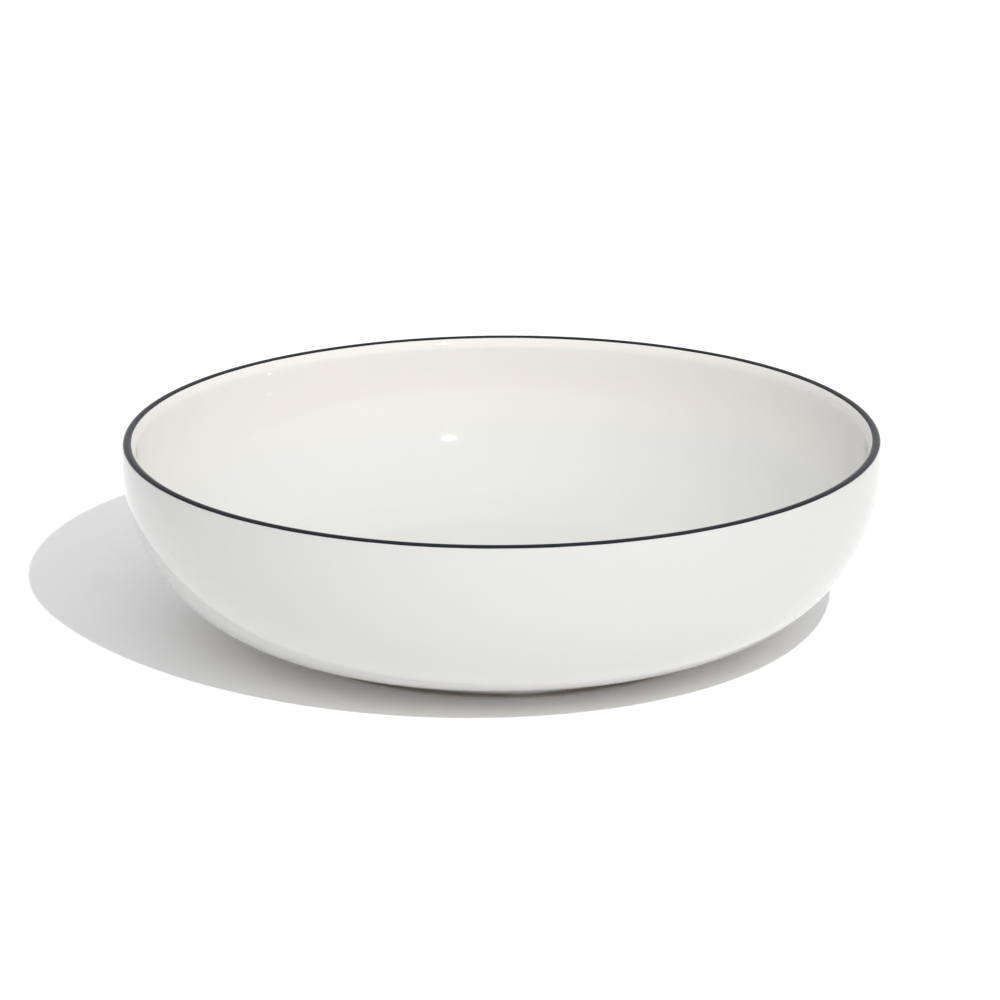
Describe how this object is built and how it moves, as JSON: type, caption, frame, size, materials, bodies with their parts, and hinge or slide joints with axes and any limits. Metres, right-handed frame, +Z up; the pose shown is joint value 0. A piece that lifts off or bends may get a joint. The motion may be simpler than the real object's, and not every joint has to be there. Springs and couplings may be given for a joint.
{
  "type": "serving bowl",
  "caption": "Low, wide coupe serving bowl in white glazed porcelain with a dark band on its rounded lip and a foot ring underneath.",
  "frame": {"origin": "centre of the foot ring's standing face, on the bowl's axis", "axes": "+Z up along the bowl's axis towards the open mouth; X and Y are free because the bowl is round"},
  "size_m": [0.3, 0.3, 0.08],
  "materials": {
    "fired_clay": "fired bare porcelain, fine matt",
    "white_glaze": "clear gloss over warm white porcelain",
    "navy_band": "gloss navy ceramic colour"
  },
  "bodies": {
    "root": {"bowl_body": "fired_clay", "interior_glaze": "white_glaze", "exterior_glaze": "white_glaze", "foot_well_glaze": "white_glaze", "rim_band": "navy_band"}
  },
  "joints": []
}
